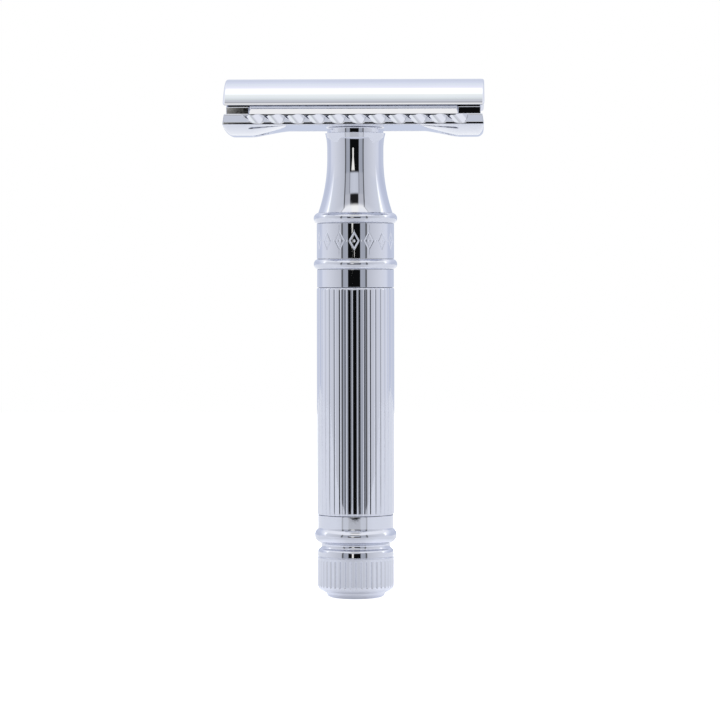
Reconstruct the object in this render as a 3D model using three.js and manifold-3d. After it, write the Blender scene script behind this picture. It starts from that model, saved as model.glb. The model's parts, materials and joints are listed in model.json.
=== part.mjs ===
// Three-piece double-edge safety razor, standing on the foot of its handle.
// Millimetres, +Z up. The origin is the centre of the foot's flat underside, the handle's
// axis is Z, and the head lies along X, so one shaving edge faces -Y and the other +Y.
//
// The cap carries a threaded stud and two locating pegs. They pass through the base plate, and
// the stud screws into the neck of the handle, which clamps the head together. No blade is
// loaded: the space for one is left between the cap and the plate.
// The handle is a stack of turned pieces on a tie rod.

import * as THREE from 'three';
import Module from 'manifold-3d';
import { mergeVertices } from 'three/addons/utils/BufferGeometryUtils.js';

const wasm = await Module();
wasm.setup();

// ---------------------------------------------------------------- driving dimensions

// Levels of the handle, from the foot up.
const FOOT_Z = 0;
const KNOB_Z = 0.95;
const TAIL_Z = 8.9;
const GRIP_Z = 13.9;
const COLLAR_Z = 52.1;
const LOWER_BEAD_Z = 55.1;
const BAND_Z = 56.9;
const UPPER_BEAD_Z = 62.8;
const NECK_Z = 64.6;
const NECK_TOP_Z = 77.95;

// Radii of the handle.
const FOOT_RADIUS = 5.05;
const KNOB_RADIUS = 6.43;
const TAIL_RADIUS = 6.37;
const TAIL_BEAD_RADIUS = 6.92;
const GRIP_RADIUS = 6.5;
const COLLAR_RADIUS = 6.44;
const BAND_RADIUS = 6.48;
const BEAD_RADIUS = 7.0;
const WAIST_RADIUS = 4.71;

// Neck: a long cove up to the waist, then a flare with a short cone under the head.
const COVE_RADIUS = 28.5;
const COVE_Z = 73.8;
const COVE_SWEEP = 18.8;
const FLARE_RADIUS = 12.9;
const FLARE_Z = 75.2;
const CONE_Z = 77.12;
const NECK_TOP_RADIUS = 5.07;

// Foot, knob and tail collar.
const FOOT_FLAT_RADIUS = 4;
const FOOT_SPIGOT_RADIUS = 4.35;
const FOOT_SPIGOT_Z = 1.7;
const KNOB_FACE_RADIUS = 5.45;
const KNOB_EDGE_RADIUS = 1;
const KNOB_EDGE_Z = 2.1;
const KNOB_EDGE_SWEEP = 65;
const KNOB_GROOVE_Z = 6.9;
const KNOB_GROOVE_DEPTH = 0.1;
const KNOB_GROOVE_HALF_WIDTH = 0.2;
const KNOB_SHOULDER_RADIUS = 0.65;
const KNOB_SHOULDER_Z = 7.7;
const KNOB_SHOULDER_SWEEP = 70;
const KNOB_FLUTE_FOOT_Z = 1.8;
const KNOB_FLUTE_TOP_Z = 6.5;
const TAIL_WAIST_RADIUS = 5.8;
const TAIL_WAIST_FILLET = 0.2;
const TAIL_BEAD_CURVE = 1.3;
const TAIL_BEAD_SWEEP = 48;
const TAIL_BEAD_Z = 10.5;

// Flutes of the grip and the knob.
const GRIP_FLUTES = 40;
const KNOB_FLUTES = 44;
const GRIP_FLUTE_DEPTH = 0.22;
const KNOB_FLUTE_DEPTH = 0.16;
const FLUTE_WIDENING = 0.62;
const FLUTE_END = 0.35;
const RING_FLAT = 0.04;
const SLEEVE_CHAMFER = 0.06;

// Inside the handle.
const SPIGOT_RADIUS = 4.1;
const RING_BORE = 4.15;
const SLEEVE_BORE = 4.2;
const SPIGOT_REACH = 2.5;
const TIE_ROD_RADIUS = 1.95;
const TAPPED_BORE = 2.05;
const CLEARANCE_BORE = 2.2;
const TIE_ROD_TOP_Z = 60.5;
const TIE_ROD_FOOT_Z = 1.9;
const TAPPED_BORE_TOP_Z = 61;
const INSERT_RADIUS = 3.4;
const INSERT_BORE = 2.55;
const INSERT_FOOT_Z = 68;
const INSERT_TOP_Z = 77.75;
const COUNTERBORE_RADIUS = 4.4;
const COUNTERBORE_TOP_Z = 7;
const SEAL_RADIUS = 0.45;
const SEAL_GROOVE_DEPTH = 0.85;
const SEAL_GROOVE_HALF_WIDTH = 0.6;
const NUT_FOOT_Z = 2.2;
const NUT_TOP_Z = 5.4;
const NUT_ACROSS_FLATS = 7;
const SPRING_WASHER_TOP_Z = 6.3;
const SPRING_WASHER_RADIUS = 3.7;
const SPRING_WASHER_SLIT_ANGLE = 8;
const FLAT_WASHER_RADIUS = 4.2;
const ROD_CHAMFER = 0.3;

// Space for a blade of the standard double-edge size, bent to a cylinder about a line along X.
const BLADE_HALF_WIDTH = 11.05;
const BLADE_THICKNESS = 0.1;
const BLADE_BEND_RADIUS = 35.26;
const BLADE_EDGE_Z = 81.75;
const BLADE_CLEARANCE = 0.05;

// Cap.
const CAP_LENGTH = 43.2;
const CAP_HALF_WIDTH = 10.05;
const CROWN_Z = 87;
const CROWN_RADIUS = 13.34;
const CROWN_SWEEP = 47.9;
const RIM_Z = 82.13;
const RIM_ROUNDING = 0.17;
const HOLLOW_HALF_WIDTH = 9.85;
const STUD_RADIUS = 2.45;
const STUD_FOOT_Z = 72.5;
const STUD_TOP_Z = 85.3;
const PEG_RADIUS = 1.5;
const PEG_X = 15.6;
const PEG_FOOT_Z = 78.6;
const PEG_TOP_Z = 84.9;
const STUD_CHAMFER = 0.5;
const PEG_CHAMFER = 0.3;
const PRESS_GAP = 0.03;

// Base plate with its scalloped guard bars.
const PLATE_LENGTH = 43;
const PLATE_HALF_WIDTH = 12;
const PLATE_UNDER_Z = 78.85;
const BAR_TOP_Z = 80.66;
const BAR_INNER_Y = 10.65;
const PLATE_FOOT_INSET = 0.25;
const RIDGE_LOW_Z = 78.97;
const RIDGE_HIGH_Z = 79.12;
const RIDGE_REACH = 0.1;
const RIDGE_FILLET = 0.18;
const BAR_FACE_TOP_Y = 11.72;
const BAR_CHAMFER = 0.14;
const END_DRAFT = 0.22;
const STUD_HOLE_RADIUS = 2.75;
const PEG_HOLE_RADIUS = 1.7;
const WEB_HALF_LENGTH = 21;
const WEB_Y = 10.1;
const CHANNEL_HALF_LENGTH = 17.3;
const BED_EDGE_Y = 9.3;
const BED_EDGE_DRAFT = 0.08;
const BED_EDGE_TOP_Z = 82.35;
const LEDGE_TOP_Z = 81.7;
const LEDGE_FOOT_Y = 9.65;
const LEDGE_FOOT_Z = 80.75;
const CHANNEL_FOOT_Y = 9.7;
const SCALLOPS = 11;
const SCALLOP_PITCH = 3.34;
const SCALLOP_INNER = { shift: 1.5, y: 10.65, z: 80.5 };
const SCALLOP_BREAK = { shift: 1.07, y: 11.13, z: 80.38 };
const SCALLOP_OUTER = { shift: 0.4, y: 11.87, z: 79.5 };
const SCALLOP_STEEP_CUTTER = { radius: 1.95, length: 3.4 };
const SCALLOP_FLAT_CUTTER = { radius: 1.75, length: 1.6 };
const BOSS_RADIUS = 4.75;
const BOSS_COVE = 0.45;

// Lobes under the plate's ends: (x, z) points along the plate and (y, z) points across it.
const LOBE_PROFILE = [[10.6, 78.85], [15.6, 77.6], [17.5, 77.45], [20, 77.45], [20.9, 77.75],
  [21.5, 78.6]];
const LOBE_SECTION = [[4, 77.45], [8, 77.8], [11.75, 78.85]];

// How far the bed, boss and lobes reach into the plate's slab, how far cutters reach past a
// face, and the foot of the cutters that go through the plate.
const ROOT = 0.45;
const OVERCUT = 1;
const BELOW_PLATE_Z = 76;

// Facets of a full turn.
const OUTER_FACETS = 36;
const INNER_FACETS = 18;

// ---------------------------------------------------------------- finishes

function finish(color, roughness, metalness = 1) {
  return () => new THREE.MeshStandardMaterial({ color, roughness, metalness });
}

const chrome = finish(0xd4d8e2, 0.06);
const brass = finish(0xc8a24e, 0.3);
const steel = finish(0xb9bcc2, 0.25);
const rubber = finish(0x17181a, 0.8, 0);

// ---------------------------------------------------------------- solids

// A closed solid from a geometry: shared vertices merged, slivers dropped, faces turned out.
function solid(geometry) {
  const bare = geometry.clone();
  for (const name of Object.keys(bare.attributes)) {
    if (name !== 'position') bare.deleteAttribute(name);
  }
  const merged = mergeVertices(bare, 1e-5);
  const position = merged.getAttribute('position');
  const corner = [0, 1, 2].map(() => new THREE.Vector3());
  const kept = [];
  let volume = 0;
  for (let i = 0; i < merged.index.count; i += 3) {
    const face = [0, 1, 2].map((k) => merged.index.getX(i + k));
    if (new Set(face).size < 3) continue;
    face.forEach((vertex, k) => corner[k].fromBufferAttribute(position, vertex));
    volume += corner[0].dot(corner[1].clone().cross(corner[2]));
    kept.push(face);
  }
  if (volume < 0) kept.forEach((face) => face.reverse());
  return new wasm.Manifold(new wasm.Mesh({
    numProp: 3,
    vertProperties: new Float32Array(position.array),
    triVerts: new Uint32Array(kept.flat()),
  }));
}

function geometryOf(body) {
  const { numProp, vertProperties, triVerts } = body.getMesh();
  const geometry = new THREE.BufferGeometry();
  const position = new Float32Array((vertProperties.length / numProp) * 3);
  for (let i = 0; i < position.length / 3; i += 1) {
    for (let k = 0; k < 3; k += 1) position[3 * i + k] = vertProperties[numProp * i + k];
  }
  geometry.setAttribute('position', new THREE.BufferAttribute(position, 3));
  geometry.setIndex(new THREE.BufferAttribute(new Uint32Array(triVerts), 1));
  geometry.computeVertexNormals();
  return geometry;
}

function joined(...bodies) {
  return bodies.reduce((whole, body) => whole.add(body));
}

function cut(body, ...cutters) {
  return cutters.reduce((whole, cutter) => whole.subtract(cutter), body);
}

// ---------------------------------------------------------------- outlines

const at = (u, v) => new THREE.Vector2(u, v);

// Points of a circular arc, angles in degrees.
function arc(u, v, radius, from, to, steps) {
  return Array.from({ length: steps + 1 }, (_, i) => {
    const angle = THREE.MathUtils.degToRad(from + ((to - from) * i) / steps);
    return at(u + radius * Math.cos(angle), v + radius * Math.sin(angle));
  });
}

function mirrored(points) {
  return points.map((p) => at(-p.x, p.y)).reverse();
}

// Turned about Z from an outline of (radius, height) points, which is closed here.
function turned(outline, facets = OUTER_FACETS) {
  const closed = [...outline, outline[0].clone()];
  return solid(new THREE.LatheGeometry(closed, facets).rotateX(Math.PI / 2));
}

function cylinder(radius, from, to, x = 0, facets = INNER_FACETS) {
  const geometry = new THREE.CylinderGeometry(radius, radius, to - from, facets);
  return solid(geometry.rotateX(Math.PI / 2).translate(x, 0, (from + to) / 2));
}

function ring(inner, outer, from, to, facets = INNER_FACETS) {
  return turned([at(inner, from), at(outer, from), at(outer, to), at(inner, to)], facets);
}

// Extruded from an outline in a plane whose two directions and normal are given.
function extruded(outline, length, across, up, along) {
  const geometry = new THREE.ExtrudeGeometry(new THREE.Shape(outline), {
    depth: length,
    bevelEnabled: false,
    steps: 1,
    curveSegments: 6,
  });
  const basis = new THREE.Matrix4().makeBasis(across, up, along);
  return geometry.translate(0, 0, -length / 2).applyMatrix4(basis);
}

const X = new THREE.Vector3(1, 0, 0);
const Y = new THREE.Vector3(0, 1, 0);
const Z = new THREE.Vector3(0, 0, 1);

// A (y, z) outline along X, and an (x, z) outline along Y, both centred.
const alongX = (outline, length) => solid(extruded(outline, length, Y, Z, X));
const alongY = (outline, length) => solid(extruded(outline, length, X, Z, Y.clone().negate()));

// An (x, y) outline between two heights.
function alongZ(outline, from, to) {
  return solid(extruded(outline, to - from, X, Y, Z).translate(0, 0, (from + to) / 2));
}

// V-shaped flutes along Z round a turned surface, shallowing out at both ends.
function flutes(count, radius, depth, from, to) {
  const half = FLUTE_WIDENING * ((Math.PI * radius) / count);
  const cutters = [];
  for (let i = 0; i < count; i += 1) {
    const inner = radius - depth;
    const vertices = [
      [inner, 0, from + FLUTE_END], [inner, 0, to - FLUTE_END],
      [radius + depth, half * 2, from - FLUTE_END], [radius + depth, half * 2, to + FLUTE_END],
      [radius + depth, -half * 2, from - FLUTE_END], [radius + depth, -half * 2, to + FLUTE_END],
    ];
    const faces = [0, 2, 4, 1, 5, 3, 0, 1, 3, 0, 3, 2, 2, 3, 5, 2, 5, 4, 4, 5, 1, 4, 1, 0];
    const geometry = new THREE.BufferGeometry();
    geometry.setAttribute('position', new THREE.Float32BufferAttribute(vertices.flat(), 3));
    geometry.setIndex(faces);
    cutters.push(solid(geometry.rotateZ((2 * Math.PI * i) / count)));
  }
  return cutters;
}

// ---------------------------------------------------------------- handle

// A turned ring with a rounded bead round its middle.
function beadRing(from, to, beadRadius, neckRadius) {
  const middle = (from + to) / 2;
  const rise = beadRadius - neckRadius;
  const half = (to - from) / 2 - RING_FLAT;
  const radius = (half * half + rise * rise) / (2 * rise);
  const sweep = THREE.MathUtils.radToDeg(Math.asin(half / radius));
  return turned([
    at(RING_BORE, from), at(neckRadius, from),
    ...arc(beadRadius - radius, middle, radius, -sweep, sweep, 6),
    at(neckRadius, to), at(RING_BORE, to),
  ]);
}

function sealGroove(middle) {
  return ring(
    SPIGOT_RADIUS - SEAL_GROOVE_DEPTH, SPIGOT_RADIUS + OVERCUT,
    middle - SEAL_GROOVE_HALF_WIDTH, middle + SEAL_GROOVE_HALF_WIDTH,
  );
}

function sealRing(middle) {
  const centre = SLEEVE_BORE - PRESS_GAP - SEAL_RADIUS;
  return turned(arc(centre, middle, SEAL_RADIUS, 0, 315, 7), INNER_FACETS);
}

function footDisc() {
  const edge = [30, 60, 90].map((degrees) => {
    const angle = THREE.MathUtils.degToRad(degrees);
    return at(
      FOOT_FLAT_RADIUS + (FOOT_RADIUS - FOOT_FLAT_RADIUS) * Math.sin(angle),
      FOOT_Z + (KNOB_Z - FOOT_Z) * (1 - Math.cos(angle)),
    );
  });
  return turned([
    at(0, FOOT_Z), at(FOOT_FLAT_RADIUS, FOOT_Z), ...edge, at(FOOT_SPIGOT_RADIUS, KNOB_Z),
    at(FOOT_SPIGOT_RADIUS, FOOT_SPIGOT_Z), at(0, FOOT_SPIGOT_Z),
  ]);
}

function endKnob() {
  const edgeCentre = KNOB_RADIUS - KNOB_EDGE_RADIUS;
  const shoulderCentre = KNOB_RADIUS - KNOB_SHOULDER_RADIUS;
  const half = KNOB_GROOVE_HALF_WIDTH;
  const blank = turned([
    at(COUNTERBORE_RADIUS, KNOB_Z), at(KNOB_FACE_RADIUS, KNOB_Z),
    ...arc(edgeCentre, KNOB_EDGE_Z, KNOB_EDGE_RADIUS, -KNOB_EDGE_SWEEP, 0, 4),
    at(KNOB_RADIUS, KNOB_GROOVE_Z - half),
    at(KNOB_RADIUS - KNOB_GROOVE_DEPTH, KNOB_GROOVE_Z - half / 2),
    at(KNOB_RADIUS - KNOB_GROOVE_DEPTH, KNOB_GROOVE_Z + half / 2),
    at(KNOB_RADIUS, KNOB_GROOVE_Z + half),
    ...arc(shoulderCentre, KNOB_SHOULDER_Z, KNOB_SHOULDER_RADIUS, 0, KNOB_SHOULDER_SWEEP, 4),
    at(TAIL_WAIST_RADIUS, TAIL_Z),
    at(CLEARANCE_BORE, TAIL_Z), at(CLEARANCE_BORE, COUNTERBORE_TOP_Z),
    at(COUNTERBORE_RADIUS, COUNTERBORE_TOP_Z),
  ], KNOB_FLUTES);
  return cut(blank, ...flutes(
    KNOB_FLUTES, KNOB_RADIUS, KNOB_FLUTE_DEPTH, KNOB_FLUTE_FOOT_Z, KNOB_FLUTE_TOP_Z,
  ));
}

function tailCollar() {
  const spigotTop = GRIP_Z + SPIGOT_REACH;
  const beadCentre = TAIL_BEAD_RADIUS - TAIL_BEAD_CURVE;
  const sweep = TAIL_BEAD_SWEEP;
  const blank = turned([
    at(CLEARANCE_BORE, TAIL_Z), at(TAIL_WAIST_RADIUS, TAIL_Z),
    at(TAIL_WAIST_RADIUS + TAIL_WAIST_FILLET, TAIL_Z + TAIL_WAIST_FILLET),
    ...arc(beadCentre, TAIL_BEAD_Z, TAIL_BEAD_CURVE, -sweep, sweep, 6),
    at(TAIL_RADIUS, TAIL_BEAD_Z + TAIL_BEAD_CURVE), at(TAIL_RADIUS, GRIP_Z),
    at(SPIGOT_RADIUS, GRIP_Z), at(SPIGOT_RADIUS, spigotTop), at(CLEARANCE_BORE, spigotTop),
  ]);
  return cut(blank, sealGroove(GRIP_Z + SPIGOT_REACH / 2));
}

function gripSleeve() {
  const edge = GRIP_RADIUS - SLEEVE_CHAMFER;
  const blank = turned([
    at(SLEEVE_BORE, GRIP_Z), at(edge, GRIP_Z), at(GRIP_RADIUS, GRIP_Z + SLEEVE_CHAMFER),
    at(GRIP_RADIUS, COLLAR_Z - SLEEVE_CHAMFER), at(edge, COLLAR_Z), at(SLEEVE_BORE, COLLAR_Z),
  ], GRIP_FLUTES);
  return cut(blank, ...flutes(
    GRIP_FLUTES, GRIP_RADIUS, GRIP_FLUTE_DEPTH, GRIP_Z + FLUTE_END, COLLAR_Z - FLUTE_END,
  ));
}

function handleNeck() {
  const spigotFoot = COLLAR_Z - SPIGOT_REACH;
  const flareSweep = THREE.MathUtils.radToDeg(Math.asin((CONE_Z - FLARE_Z) / FLARE_RADIUS));
  const blank = turned([
    at(0, spigotFoot), at(SPIGOT_RADIUS, spigotFoot), at(SPIGOT_RADIUS, NECK_Z),
    ...arc(WAIST_RADIUS + COVE_RADIUS, COVE_Z, COVE_RADIUS, 180 + COVE_SWEEP, 180, 8),
    ...arc(WAIST_RADIUS + FLARE_RADIUS, FLARE_Z, FLARE_RADIUS, 180, 180 - flareSweep, 2),
    at(NECK_TOP_RADIUS, NECK_TOP_Z), at(0, NECK_TOP_Z),
  ]);
  return cut(
    blank,
    cylinder(INSERT_RADIUS + PRESS_GAP, INSERT_FOOT_Z, NECK_TOP_Z + OVERCUT),
    cylinder(TAPPED_BORE, spigotFoot - OVERCUT, TAPPED_BORE_TOP_Z),
    sealGroove(COLLAR_Z - SPIGOT_REACH / 2),
  );
}

// A spring washer: a ring with a slit.
function springWasher() {
  const slit = SPRING_WASHER_SLIT_ANGLE;
  const outline = [
    ...arc(0, 0, SPRING_WASHER_RADIUS, slit, 360 - slit, INNER_FACETS),
    ...arc(0, 0, CLEARANCE_BORE, 360 - slit, slit, INNER_FACETS),
  ];
  return alongZ(outline, NUT_TOP_Z, SPRING_WASHER_TOP_Z);
}

function flatWasher() {
  return ring(CLEARANCE_BORE, FLAT_WASHER_RADIUS, SPRING_WASHER_TOP_Z, COUNTERBORE_TOP_Z);
}

function threadInsert() {
  return ring(INSERT_BORE, INSERT_RADIUS, INSERT_FOOT_Z, INSERT_TOP_Z);
}

function lockNut() {
  const hexagon = arc(0, 0, NUT_ACROSS_FLATS / Math.sqrt(3), 0, 300, 5);
  return cut(
    alongZ(hexagon, NUT_FOOT_Z, NUT_TOP_Z),
    cylinder(TAPPED_BORE, NUT_FOOT_Z - OVERCUT, NUT_TOP_Z + OVERCUT),
  );
}

// ---------------------------------------------------------------- head

const bladeCentreZ = BLADE_EDGE_Z
  - BLADE_BEND_RADIUS * Math.cos(BLADE_HALF_WIDTH / BLADE_BEND_RADIUS);

// The arc of (y, z) points at a given radius about the bend's axis, from +y to -y.
function bendArc(radius, halfWidth, steps) {
  const reach = THREE.MathUtils.radToDeg(Math.asin(halfWidth / radius));
  return arc(0, bladeCentreZ, radius, 90 - reach, 90 + reach, steps);
}

const underCapRadius = BLADE_BEND_RADIUS + BLADE_THICKNESS / 2 + BLADE_CLEARANCE;
const bedRadius = BLADE_BEND_RADIUS - BLADE_THICKNESS / 2 - BLADE_CLEARANCE;

function topCap() {
  const crown = arc(
    0, CROWN_Z - CROWN_RADIUS, CROWN_RADIUS, 90 - CROWN_SWEEP, 90 + CROWN_SWEEP, 22,
  );
  const rim = [
    at(CAP_HALF_WIDTH - RIM_ROUNDING / 2, RIM_Z), at(CAP_HALF_WIDTH, RIM_Z + RIM_ROUNDING),
  ];
  const section = [
    ...rim, ...crown, ...mirrored(rim),
    ...bendArc(underCapRadius, HOLLOW_HALF_WIDTH, 12).reverse(),
  ];
  const below = RIM_Z - OVERCUT;
  return cut(
    alongX(section, CAP_LENGTH),
    cylinder(STUD_RADIUS + PRESS_GAP, below, STUD_TOP_Z + PRESS_GAP),
    cylinder(PEG_RADIUS + PRESS_GAP, below, PEG_TOP_Z + PRESS_GAP, -PEG_X),
    cylinder(PEG_RADIUS + PRESS_GAP, below, PEG_TOP_Z + PRESS_GAP, PEG_X),
  );
}

// A pin along Z with a chamfered tip at its foot.
function pin(radius, from, to, chamfer) {
  return turned([
    at(0, from), at(radius - chamfer, from), at(radius, from + chamfer), at(radius, to), at(0, to),
  ], INNER_FACETS);
}

// A round cutter whose lowest line runs through two points of a scallop's floor.
function roundCutter(x, inner, outer, { radius, length }) {
  const start = new THREE.Vector3(x + inner.shift, inner.y, inner.z);
  const end = new THREE.Vector3(x + outer.shift, outer.y, outer.z);
  const along = end.clone().sub(start).normalize();
  const up = Z.clone().addScaledVector(along, -along.z).normalize();
  const across = along.clone().cross(up);
  const geometry = new THREE.CylinderGeometry(radius, radius, length, 20);
  geometry.applyMatrix4(new THREE.Matrix4().makeBasis(across.negate(), along, up));
  const middle = start.add(end).multiplyScalar(0.5).addScaledVector(up, radius);
  return solid(geometry.translate(middle.x, middle.y, middle.z));
}

// One scallop of the guard bar at y > 0. Its floor leans sideways, falls gently from the
// bar's inner edge, then steeply to its outer face.
function scallop(x) {
  return roundCutter(x, SCALLOP_BREAK, SCALLOP_OUTER, SCALLOP_STEEP_CUTTER)
    .add(roundCutter(x, SCALLOP_INNER, SCALLOP_BREAK, SCALLOP_FLAT_CUTTER));
}

// The lather channel of the guard bar at y > 0: a round-ended slot, open above and below.
// Its inner wall is the edge of the bed with a ledge under it that slopes outwards.
function latherChannel() {
  const near = BED_EDGE_Y - BED_EDGE_DRAFT;
  const section = [
    at(near, CROWN_Z), at(near, BED_EDGE_TOP_Z), at(BED_EDGE_Y, LEDGE_TOP_Z),
    at(LEDGE_FOOT_Y, LEDGE_FOOT_Z), at(CHANNEL_FOOT_Y, BELOW_PLATE_Z),
    at(BAR_INNER_Y, BELOW_PLATE_Z), at(BAR_INNER_Y, CROWN_Z),
  ];
  const round = (BAR_INNER_Y - near) / 2;
  const middle = near + round;
  const far = CHANNEL_HALF_LENGTH - round;
  const plan = [
    ...arc(far, middle, round, -90, 90, 8), ...arc(-far, middle, round, 90, 270, 8),
  ];
  return alongX(section, 2 * CHANNEL_HALF_LENGTH)
    .intersect(alongZ(plan, BELOW_PLATE_Z, CROWN_Z));
}

// The boss that the neck bears against, with a cove up to the plate's underside.
function boss() {
  const top = PLATE_UNDER_Z + ROOT;
  const coveRadius = BOSS_RADIUS + BOSS_COVE;
  return turned([
    at(0, NECK_TOP_Z), at(BOSS_RADIUS, NECK_TOP_Z),
    ...arc(coveRadius, PLATE_UNDER_Z - BOSS_COVE, BOSS_COVE, 180, 90, 3),
    at(coveRadius, top), at(0, top),
  ]);
}

// A lobe under each end of the plate, with its lowest part towards the end.
function lobes() {
  const inside = PLATE_UNDER_Z + ROOT;
  const side = LOBE_PROFILE.map(([x, z]) => at(x, z));
  const half = LOBE_SECTION.map(([y, z]) => at(y, z));
  const outline = [at(side[0].x, inside), ...side, at(side.at(-1).x, inside)];
  half.push(at(half.at(-1).x, inside));
  const belly = alongX([...half, ...mirrored(half)], PLATE_LENGTH);
  return [outline, mirrored(outline)].map(
    (profile) => alongY(profile, 2 * PLATE_HALF_WIDTH).intersect(belly),
  );
}

function basePlate() {
  const face = [
    at(PLATE_HALF_WIDTH - PLATE_FOOT_INSET, PLATE_UNDER_Z), at(PLATE_HALF_WIDTH, RIDGE_LOW_Z),
    at(PLATE_HALF_WIDTH, RIDGE_HIGH_Z),
    at(PLATE_HALF_WIDTH - RIDGE_REACH, RIDGE_HIGH_Z + RIDGE_FILLET),
    at(BAR_FACE_TOP_Y, BAR_TOP_Z - BAR_CHAMFER), at(BAR_FACE_TOP_Y - BAR_CHAMFER, BAR_TOP_Z),
  ];
  const end = PLATE_LENGTH / 2;
  const side = [
    at(end - BAR_CHAMFER, PLATE_UNDER_Z), at(end, RIDGE_LOW_Z), at(end, RIDGE_HIGH_Z),
    at(end - END_DRAFT, BAR_TOP_Z),
  ];
  const slab = alongX([...face, ...mirrored(face)], PLATE_LENGTH)
    .intersect(alongY([...side, ...mirrored(side)], 2 * PLATE_HALF_WIDTH));
  const bed = [
    at(-WEB_Y, BAR_TOP_Z - ROOT), at(WEB_Y, BAR_TOP_Z - ROOT), ...bendArc(bedRadius, WEB_Y, 12),
  ];
  const blank = joined(slab, alongX(bed, 2 * WEB_HALF_LENGTH), ...lobes(), boss());
  const sideCutters = [latherChannel()];
  for (let i = 0; i < SCALLOPS; i += 1) {
    sideCutters.push(scallop((i - (SCALLOPS - 1) / 2) * SCALLOP_PITCH));
  }
  const otherSide = sideCutters.map((cutter) => cutter.rotate([0, 0, 180]));
  return cut(
    blank, ...sideCutters, ...otherSide,
    cylinder(STUD_HOLE_RADIUS, BELOW_PLATE_Z, CROWN_Z),
    cylinder(PEG_HOLE_RADIUS, BELOW_PLATE_Z, CROWN_Z, -PEG_X),
    cylinder(PEG_HOLE_RADIUS, BELOW_PLATE_Z, CROWN_Z, PEG_X),
  );
}

// ---------------------------------------------------------------- assembly

function part(name, body, material) {
  const mesh = new THREE.Mesh(geometryOf(body), material());
  mesh.name = name;
  return mesh;
}

function assembly(...children) {
  const group = new THREE.Group();
  group.add(...children);
  return group;
}

const handle = assembly(
  part('foot_disc', footDisc(), chrome),
  part('end_knob', endKnob(), chrome),
  part('tail_collar', tailCollar(), chrome),
  part('grip_sleeve', gripSleeve(), chrome),
  part('top_collar', ring(RING_BORE, COLLAR_RADIUS, COLLAR_Z, LOWER_BEAD_Z, OUTER_FACETS), chrome),
  part('lower_bead_ring', beadRing(LOWER_BEAD_Z, BAND_Z, BEAD_RADIUS, BAND_RADIUS), chrome),
  part('engraved_band', ring(RING_BORE, BAND_RADIUS, BAND_Z, UPPER_BEAD_Z, OUTER_FACETS), chrome),
  part('upper_bead_ring', beadRing(UPPER_BEAD_Z, NECK_Z, BEAD_RADIUS, BAND_RADIUS), chrome),
  part('handle_neck', handleNeck(), chrome),
  part('thread_insert', threadInsert(), brass),
  part('tie_rod', pin(TIE_ROD_RADIUS, TIE_ROD_FOOT_Z, TIE_ROD_TOP_Z, ROD_CHAMFER), steel),
  part('lock_nut', lockNut(), steel),
  part('spring_washer', springWasher(), steel),
  part('flat_washer', flatWasher(), steel),
  part('upper_seal_ring', sealRing(COLLAR_Z - SPIGOT_REACH / 2), rubber),
  part('lower_seal_ring', sealRing(GRIP_Z + SPIGOT_REACH / 2), rubber),
);

const cap = assembly(
  part('top_cap', topCap(), chrome),
  part('cap_stud', pin(STUD_RADIUS, STUD_FOOT_Z, STUD_TOP_Z, STUD_CHAMFER), brass),
  ...[['left', -PEG_X], ['right', PEG_X]].map(([side, x]) => {
    const peg = part(
      `cap_peg_${side}`, pin(PEG_RADIUS, PEG_FOOT_Z, PEG_TOP_Z, PEG_CHAMFER), chrome,
    );
    peg.position.x = x;
    return peg;
  }),
);

const razor = assembly(
  handle,
  part('base_plate', basePlate(), chrome),
  cap,
);

export default razor;
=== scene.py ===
"""Looks of the chrome safety razor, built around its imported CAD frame.

Lengths are written in millimetres and turned into metres when a mesh is made. Levels and
radii come from the CAD nodes' boxes. Angles round the handle are measured from -Y, where
the camera stands, towards +X.
"""
import json
import math

import bpy
import numpy as np
from mathutils import Matrix, Vector

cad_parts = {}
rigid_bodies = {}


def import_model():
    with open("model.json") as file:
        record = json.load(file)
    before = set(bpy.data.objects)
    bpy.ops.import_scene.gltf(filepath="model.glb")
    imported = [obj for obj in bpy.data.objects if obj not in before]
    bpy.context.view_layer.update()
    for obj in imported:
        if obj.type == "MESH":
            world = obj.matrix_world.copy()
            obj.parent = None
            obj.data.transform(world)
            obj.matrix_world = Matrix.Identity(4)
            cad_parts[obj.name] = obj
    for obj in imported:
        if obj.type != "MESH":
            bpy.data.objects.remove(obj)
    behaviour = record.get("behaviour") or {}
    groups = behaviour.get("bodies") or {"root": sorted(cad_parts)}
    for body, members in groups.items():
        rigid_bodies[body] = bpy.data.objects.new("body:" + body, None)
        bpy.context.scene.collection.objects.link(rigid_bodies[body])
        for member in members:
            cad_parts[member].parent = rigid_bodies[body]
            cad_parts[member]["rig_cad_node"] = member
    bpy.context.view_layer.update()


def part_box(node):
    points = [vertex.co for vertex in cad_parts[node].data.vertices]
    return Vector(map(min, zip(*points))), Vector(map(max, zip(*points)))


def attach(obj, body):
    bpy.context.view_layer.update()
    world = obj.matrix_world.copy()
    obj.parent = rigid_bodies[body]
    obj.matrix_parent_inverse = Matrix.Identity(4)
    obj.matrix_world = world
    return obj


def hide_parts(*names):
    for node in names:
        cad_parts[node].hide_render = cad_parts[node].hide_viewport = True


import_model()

MM = 0.001

# Turning: facets of a full turn, and the length of a step along a rounded corner.
TURN_STEPS = 192
CORNER_STEPS = 5
SMOOTH_ANGLE = math.radians(32)

# The handle: bores of its rings and of the pieces screwed into them.
RING_BORE = 4.15
GRIP_RADIUS = 6.5
BEAD_WAIST = 6.45
FOOT_FLAT = 4.0
PLUG_RADIUS = 4.35
ROD_BORE = 2.2
SPIGOT_RADIUS = 5.8
KNOB_FLUTES_FROM = 1.8
KNOB_FLUTES_TO = 6.5

# Flutes: count, half width, depth, and the angle of one groove from -Y.
GRIP_FLUTES = dict(count=40, half_width=0.2, depth=0.072, phase=5.3)
KNOB_FLUTES = dict(count=44, half_width=0.22, depth=0.15, phase=2.1)

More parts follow.
